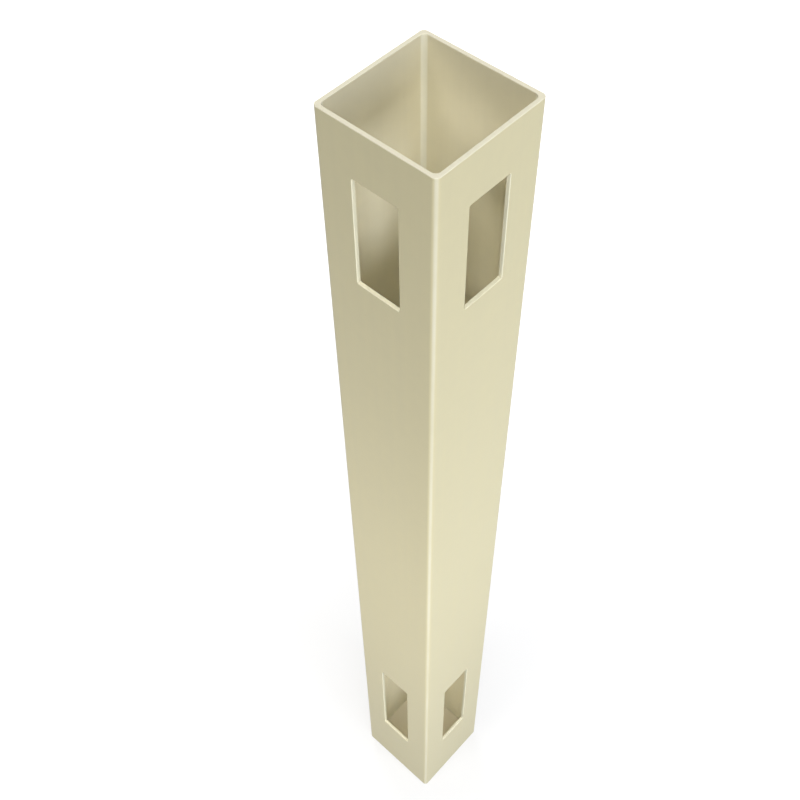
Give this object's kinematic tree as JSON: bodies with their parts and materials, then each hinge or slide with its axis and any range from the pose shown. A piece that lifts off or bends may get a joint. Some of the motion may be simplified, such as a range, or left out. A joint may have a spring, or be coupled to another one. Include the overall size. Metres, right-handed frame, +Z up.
{
  "type": "corner fence post",
  "caption": "Hollow square vinyl fence post for a corner, open at the top, with rail slots through two neighbouring faces.",
  "frame": {"origin": "centre of the foot, on the plane of its sawn end", "axes": "+Z up the post, slotted faces towards -Y and +X, plain faces towards +Y and -X"},
  "size_m": [0.1016, 0.1016, 1.0668],
  "materials": {
    "vinyl": "smooth satin extrusion, tan"
  },
  "bodies": {
    "root": {"post": "vinyl"}
  },
  "joints": []
}
